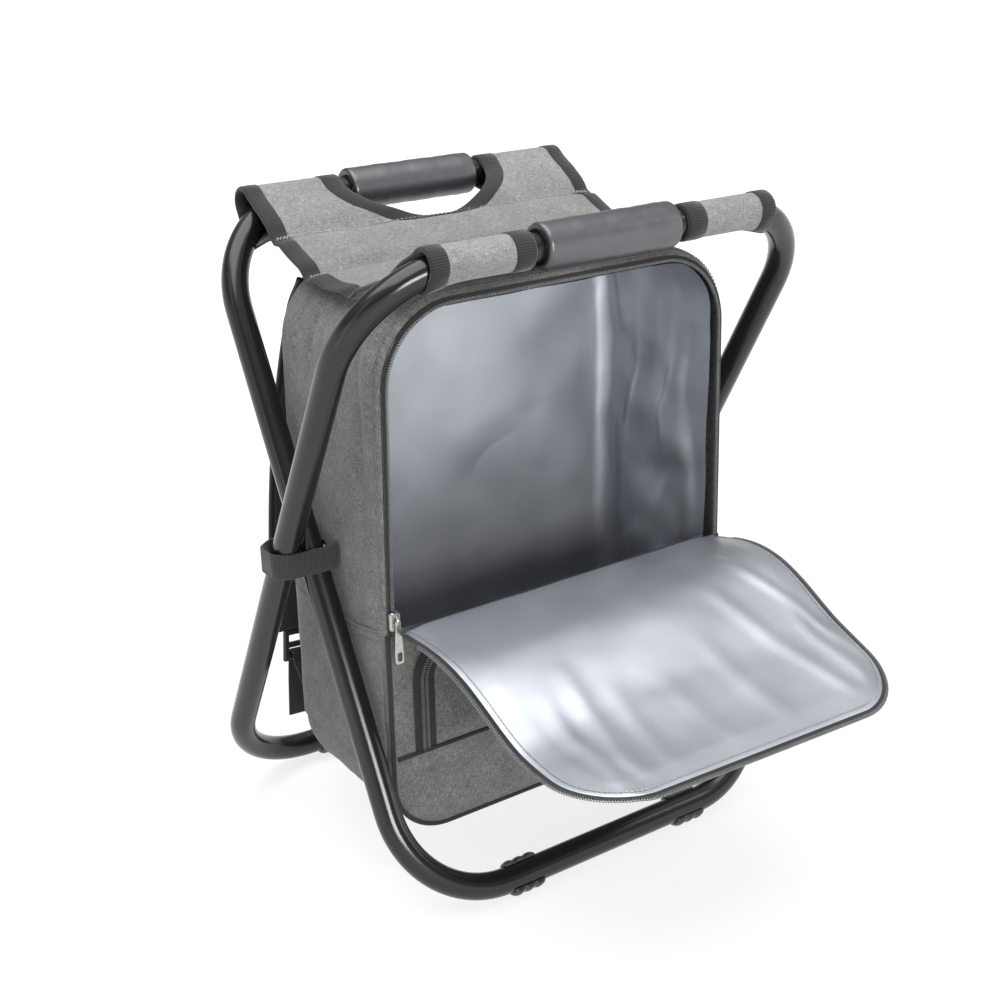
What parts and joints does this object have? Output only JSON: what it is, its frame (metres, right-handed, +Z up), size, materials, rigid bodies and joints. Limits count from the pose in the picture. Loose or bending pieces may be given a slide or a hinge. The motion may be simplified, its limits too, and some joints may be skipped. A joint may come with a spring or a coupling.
{
  "type": "folding cooler stool",
  "caption": "Folding stool of crossed steel tube loops with a slung cloth seat, foam carry grips and an insulated backpack bag with a zipped fold-down door hung between the legs.",
  "frame": {"origin": "middle of the underside of the whole part's box, on the floor", "axes": "+Z up, -Y towards the bag's opening and its lowered door, +X to the right as seen from the front"},
  "size_m": [0.3686, 0.4004, 0.4479],
  "materials": {
    "tube_paint": "satin black powder coat on steel tube",
    "rivet_steel": "plain steel rivet",
    "black_plastic": "moulded black plastic, fine matt grain",
    "grip_foam": "closed-cell foam, matt dark grey",
    "seat_cloth": "heather grey polyester weave with black binding",
    "bag_cloth": "heather grey polyester weave",
    "white_foam": "white insulating foam, hidden between shell and lining",
    "silver_lining": "silver film lining, crinkled, satin sheen",
    "black_webbing": "black woven tape and webbing",
    "zip_metal": "nickel-plated zip slider and pull"
  },
  "bodies": {
    "outer_frame": {"outer_tube": "tube_paint", "rivet_left": "rivet_steel", "rivet_right": "rivet_steel", "spacer_left": "black_plastic", "spacer_right": "black_plastic", "foot_rear_left": "black_plastic", "foot_rear_right": "black_plastic", "grip_front": "grip_foam", "sleeve_front_left": "seat_cloth", "sleeve_front_right": "seat_cloth"},
    "inner_frame": {"inner_tube": "tube_paint", "foot_front_left": "black_plastic", "foot_front_right": "black_plastic", "grip_rear": "grip_foam", "sleeve_rear_left": "seat_cloth", "sleeve_rear_right": "seat_cloth"},
    "bag": {"seat_panel": "seat_cloth", "bag_gusset": "bag_cloth", "bag_front": "bag_cloth", "bag_back": "bag_cloth", "insulation": "white_foam", "liner": "silver_lining", "piping_front": "black_webbing", "piping_back": "black_webbing", "opening_zip": "black_webbing", "front_pocket": "bag_cloth", "pocket_zip": "black_webbing", "side_pocket_left": "bag_cloth", "side_pocket_right": "bag_cloth", "keeper_left": "black_webbing", "keeper_right": "black_webbing", "strap_left": "black_webbing", "strap_right": "black_webbing", "strap_webbing_left": "black_webbing", "strap_webbing_right": "black_webbing", "ladder_lock_left": "black_plastic", "ladder_lock_right": "black_plastic"},
    "door_lower": {"door_panel_lower": "bag_cloth", "door_lining_lower": "silver_lining", "door_zip_lower_left": "black_webbing", "door_zip_lower_right": "black_webbing"},
    "door_upper": {"door_panel_upper": "bag_cloth", "door_lining_upper": "silver_lining", "door_zip_upper": "black_webbing"},
    "door_slider": {"door_slider": "zip_metal"},
    "door_pull": {"door_pull": "zip_metal"},
    "pocket_slider": {"pocket_slider": "zip_metal"},
    "pocket_pull": {"pocket_pull": "zip_metal"}
  },
  "joints": [
    {"name": "frame_fold", "type": "hinge", "parent": "outer_frame", "child": "inner_frame", "pos_m": [0, 0.07059, 0.22828], "axis": [1, 0, 0], "range_deg": [0, 44], "deforming": ["seat_panel"]},
    {"name": "bag_swing", "type": "hinge", "parent": "outer_frame", "child": "bag", "pos_m": [0, 0.07059, 0.22828], "axis": [1, 0, 0], "range_deg": [0, 22]},
    {"name": "door_hinge", "type": "hinge", "parent": "bag", "child": "door_lower", "pos_m": [0, -0.00461, 0.19028], "axis": [-1, 0, 0], "range_deg": [0, 78]},
    {"name": "door_flex", "type": "hinge", "parent": "door_lower", "child": "door_upper", "pos_m": [0, -0.05938, 0.20192], "axis": [-1, 0, 0], "range_deg": [0, 32]},
    {"name": "door_zip_slide", "type": "slide", "parent": "bag", "child": "door_slider", "axis": [0, 0, 1], "range_m": [0, 0.14]},
    {"name": "door_pull_swing", "type": "hinge", "parent": "door_slider", "child": "door_pull", "pos_m": [-0.13365, -0.00661, 0.20228], "axis": [-1, 0, 0], "range_deg": [0, 150]},
    {"name": "pocket_zip_slide", "type": "slide", "parent": "bag", "child": "pocket_slider", "axis": [0, 0, 1], "range_m": [0, 0.038]},
    {"name": "pocket_pull_swing", "type": "hinge", "parent": "pocket_slider", "child": "pocket_pull", "pos_m": [0.1129, -0.00661, 0.11428], "axis": [-1, 0, 0], "range_deg": [0, 150]}
  ],
  "couplings": [
    {"joint": "bag_swing", "follows": "frame_fold", "ratio": 0.5},
    {"joint": "door_flex", "follows": "door_hinge", "ratio": 0.41026}
  ]
}
